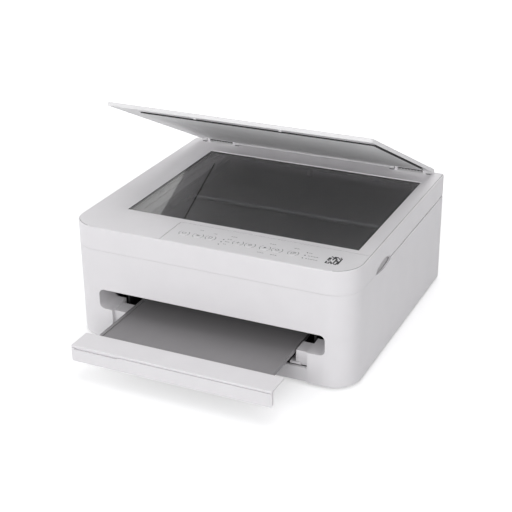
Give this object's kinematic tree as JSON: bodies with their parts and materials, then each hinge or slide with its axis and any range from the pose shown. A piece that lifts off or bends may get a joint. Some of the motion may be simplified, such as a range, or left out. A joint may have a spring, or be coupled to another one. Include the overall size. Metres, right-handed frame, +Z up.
{
  "type": "multifunction printer",
  "caption": "Low box-shaped ink printer with a flatbed scanner under a hinged document cover, a pull-out output tray and a paper cassette below it.",
  "frame": {"origin": "middle of the footprint with the output tray pulled out, on the surface that the feet stand on", "axes": "+X to the printer's right seen from the front, +Y from the front to the rear, +Z up"},
  "size_m": [0.372, 0.4348, 0.2824],
  "materials": {
    "white_casing": "fine texture",
    "panel_white": "smooth satin",
    "button_white": "satin",
    "cover_white": "fine texture",
    "base_grey": "moulded",
    "engine_black": "moulded",
    "tray_grey": "moulded",
    "guide_grey": "moulded",
    "rubber": "matt",
    "roller": "ground rubber on a steel shaft",
    "steel": "zinc plated",
    "spindle_white": "moulded",
    "gear_white": "moulded",
    "ink_black": "moulded",
    "ink_colour": "moulded",
    "board_green": "lacquered board",
    "supply_black": "moulded",
    "glass": "float glass",
    "light_guide": "smoked",
    "foam": "foam",
    "pad_sheet": "satin film"
  },
  "bodies": {
    "root": {"case_wrap": "white_casing", "rear_cover": "white_casing", "base_frame": "base_grey", "rubber_feet": "rubber", "engine_frame": "engine_black", "exit_guide": "engine_black", "platen": "engine_black", "turn_guide": "engine_black", "pinch_holder": "engine_black", "feed_motor": "steel", "chassis_rail": "steel", "carriage_belt": "rubber", "carriage_motor": "steel", "maintenance_station": "guide_grey", "main_board": "board_green", "power_supply": "supply_black", "unit_hinge_pins": "steel"},
    "output_tray": {"output_tray": "tray_grey", "output_tray_front": "white_casing"},
    "paper_cassette": {"paper_cassette": "base_grey", "cassette_front": "white_casing"},
    "paper_guide_left": {"paper_guide_left": "guide_grey"},
    "paper_guide_right": {"paper_guide_right": "guide_grey"},
    "paper_guide_front": {"paper_guide_front": "guide_grey"},
    "feed_roller": {"feed_roller": "roller", "feed_gear": "gear_white"},
    "pinch_rollers": {"pinch_rollers": "rubber"},
    "idler_gear": {"idler_gear": "gear_white"},
    "eject_roller": {"eject_roller": "roller", "eject_gear": "gear_white"},
    "motor_pinion": {"motor_pinion": "gear_white"},
    "pickup_arm": {"pickup_arm": "gear_white"},
    "pickup_roller": {"pickup_roller": "rubber"},
    "print_carriage": {"print_carriage": "engine_black", "black_cartridge": "ink_black", "colour_cartridge": "ink_colour"},
    "motor_pulley": {"motor_pulley": "gear_white"},
    "belt_idler": {"belt_idler": "gear_white"},
    "scanner_unit": {"scanner_case": "white_casing", "top_frame": "white_casing", "platen_glass": "glass", "operation_panel": "panel_white", "status_lights": "light_guide", "panel_board": "board_green", "scan_rail": "steel", "hinge_spindle_left": "spindle_white", "hinge_spindle_right": "spindle_white"},
    "sensor_carrier": {"sensor_carrier": "engine_black", "sensor_bar": "ink_black"},
    "document_cover": {"document_cover": "cover_white", "pad_foam": "foam", "pad_sheet": "pad_sheet"},
    "button_1": {"button_1": "button_white"},
    "button_2": {"button_2": "button_white"},
    "button_3": {"button_3": "button_white"},
    "button_4": {"button_4": "button_white"},
    "button_5": {"button_5": "button_white"},
    "button_6": {"button_6": "button_white"},
    "button_7": {"button_7": "button_white"},
    "button_8": {"button_8": "button_white"}
  },
  "joints": [
    {"name": "scanner_unit_lift", "type": "hinge", "parent": "root", "child": "scanner_unit", "pos_m": [0, 0.21385, 0.12262], "axis": [-1, 0, 0], "range_deg": [0, 25]},
    {"name": "cover_hinge", "type": "hinge", "parent": "scanner_unit", "child": "document_cover", "pos_m": [0, 0.20935, 0.1566], "axis": [-1, 0, 0], "range_deg": [-26.4, 63.6]},
    {"name": "output_tray_slide", "type": "slide", "parent": "root", "child": "output_tray", "axis": [0, 1, 0], "range_m": [0, 0.0947]},
    {"name": "cassette_slide", "type": "slide", "parent": "root", "child": "paper_cassette", "axis": [0, -1, 0], "range_m": [0, 0.19]},
    {"name": "side_guide_right", "type": "slide", "parent": "paper_cassette", "child": "paper_guide_right", "axis": [-1, 0, 0], "range_m": [0, 0.06]},
    {"name": "side_guide_left", "type": "slide", "parent": "paper_cassette", "child": "paper_guide_left", "axis": [-1, 0, 0], "range_m": [-0.06, 0]},
    {"name": "front_guide", "type": "slide", "parent": "paper_cassette", "child": "paper_guide_front", "axis": [0, 1, 0], "range_m": [0, 0.12]},
    {"name": "feed_spin", "type": "hinge", "parent": "root", "child": "feed_roller", "pos_m": [0, 0.09735, 0.0575], "axis": [1, 0, 0], "continuous": true},
    {"name": "pinch_spin", "type": "hinge", "parent": "root", "child": "pinch_rollers", "pos_m": [0, 0.09735, 0.0663], "axis": [1, 0, 0], "continuous": true},
    {"name": "idler_spin", "type": "hinge", "parent": "root", "child": "idler_gear", "pos_m": [-0.1635, 0.06035, 0.0575], "axis": [1, 0, 0], "continuous": true},
    {"name": "eject_spin", "type": "hinge", "parent": "root", "child": "eject_roller", "pos_m": [0, 0.02735, 0.0575], "axis": [1, 0, 0], "continuous": true},
    {"name": "motor_spin", "type": "hinge", "parent": "root", "child": "motor_pinion", "pos_m": [-0.1635, 0.1142, 0.04336], "axis": [1, 0, 0], "continuous": true},
    {"name": "pickup_lift", "type": "hinge", "parent": "root", "child": "pickup_arm", "pos_m": [0, 0.12535, 0.0425], "axis": [-1, 0, 0], "range_deg": [0, 10]},
    {"name": "pickup_spin", "type": "hinge", "parent": "pickup_arm", "child": "pickup_roller", "pos_m": [0, 0.07335, 0.0183], "axis": [1, 0, 0], "continuous": true},
    {"name": "carriage_slide", "type": "slide", "parent": "root", "child": "print_carriage", "axis": [1, 0, 0], "range_m": [-0.25, 0]},
    {"name": "motor_pulley_spin", "type": "hinge", "parent": "root", "child": "motor_pulley", "pos_m": [-0.16, 0.10335, 0.0865], "axis": [0, 1, 0], "range_deg": [-2400, 10]},
    {"name": "belt_idler_spin", "type": "hinge", "parent": "root", "child": "belt_idler", "pos_m": [0.16, 0.10335, 0.0865], "axis": [0, 1, 0], "range_deg": [-2400, 10]},
    {"name": "sensor_slide", "type": "slide", "parent": "scanner_unit", "child": "sensor_carrier", "axis": [1, 0, 0], "range_m": [0, 0.27]},
    {"name": "button_1_press", "type": "slide", "parent": "scanner_unit", "child": "button_1", "axis": [0, 0, -1], "range_m": [0, 0.0008], "stiffness_N_per_m": 400, "springref_m": -0.001},
    {"name": "button_2_press", "type": "slide", "parent": "scanner_unit", "child": "button_2", "axis": [0, 0, -1], "range_m": [0, 0.0008], "stiffness_N_per_m": 400, "springref_m": -0.001},
    {"name": "button_3_press", "type": "slide", "parent": "scanner_unit", "child": "button_3", "axis": [0, 0, -1], "range_m": [0, 0.0008], "stiffness_N_per_m": 400, "springref_m": -0.001},
    {"name": "button_4_press", "type": "slide", "parent": "scanner_unit", "child": "button_4", "axis": [0, 0, -1], "range_m": [0, 0.0008], "stiffness_N_per_m": 400, "springref_m": -0.001},
    {"name": "button_5_press", "type": "slide", "parent": "scanner_unit", "child": "button_5", "axis": [0, 0, -1], "range_m": [0, 0.0008], "stiffness_N_per_m": 400, "springref_m": -0.001},
    {"name": "button_6_press", "type": "slide", "parent": "scanner_unit", "child": "button_6", "axis": [0, 0, -1], "range_m": [0, 0.0008], "stiffness_N_per_m": 400, "springref_m": -0.001},
    {"name": "button_7_press", "type": "slide", "parent": "scanner_unit", "child": "button_7", "axis": [0, 0, -1], "range_m": [0, 0.0008], "stiffness_N_per_m": 400, "springref_m": -0.001},
    {"name": "button_8_press", "type": "slide", "parent": "scanner_unit", "child": "button_8", "axis": [0, 0, -1], "range_m": [0, 0.0008], "stiffness_N_per_m": 400, "springref_m": -0.001}
  ],
  "couplings": [
    {"joint": "side_guide_left", "follows": "side_guide_right", "ratio": -1},
    {"joint": "pinch_spin", "follows": "feed_spin", "ratio": -1.8333},
    {"joint": "idler_spin", "follows": "feed_spin", "ratio": -0.76191},
    {"joint": "eject_spin", "follows": "feed_spin", "ratio": 1.3333},
    {"joint": "motor_spin", "follows": "feed_spin", "ratio": -2.6667},
    {"joint": "pickup_spin", "follows": "feed_spin", "ratio": 0.55},
    {"joint": "motor_pulley_spin", "follows": "carriage_slide", "rad_per_m": 140.85},
    {"joint": "belt_idler_spin", "follows": "carriage_slide", "rad_per_m": 140.85}
  ]
}
